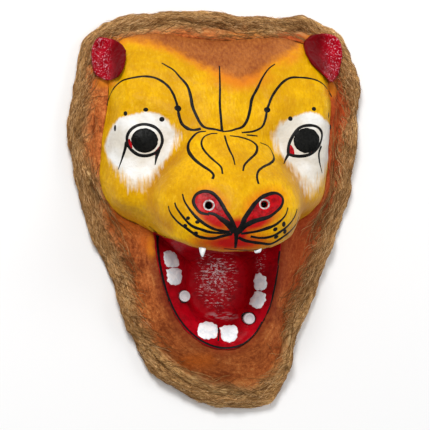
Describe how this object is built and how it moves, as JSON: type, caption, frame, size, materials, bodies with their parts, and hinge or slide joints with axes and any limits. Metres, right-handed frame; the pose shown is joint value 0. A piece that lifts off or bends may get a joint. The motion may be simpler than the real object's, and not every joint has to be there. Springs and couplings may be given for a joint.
{
  "type": "tiger face mask",
  "caption": "Painted folk tiger mask: matted fibre body with a thick rim, high-relief yellow face, open red mouth, painted teeth and small red ears.",
  "frame": {"origin": "centre of the mask's box in X and Y, on the plane of the rim's flat back", "axes": "+Z out of the face, +Y toward the crown, +X toward the viewer's right when looking at the face"},
  "size_m": [0.2514, 0.3372, 0.1208],
  "materials": {
    "matted_fibre": "coarse matted plant fibre, brown, washed with orange-brown paint on its slopes",
    "yellow_paint": "satin yellow paint over moulded paper, with black line work and white eye patches",
    "red_paint": "glossy red paint over rough paper, with painted white teeth",
    "ear_paint": "glossy red paint with an orange edge",
    "pale_plaster": "pale matt stub with a dished end"
  },
  "bodies": {
    "root": {"fibre_body": "matted_fibre", "face": "yellow_paint", "mouth": "red_paint", "ear_left": "ear_paint", "ear_right": "ear_paint", "canine_left": "pale_plaster", "canine_right": "pale_plaster"}
  },
  "joints": []
}
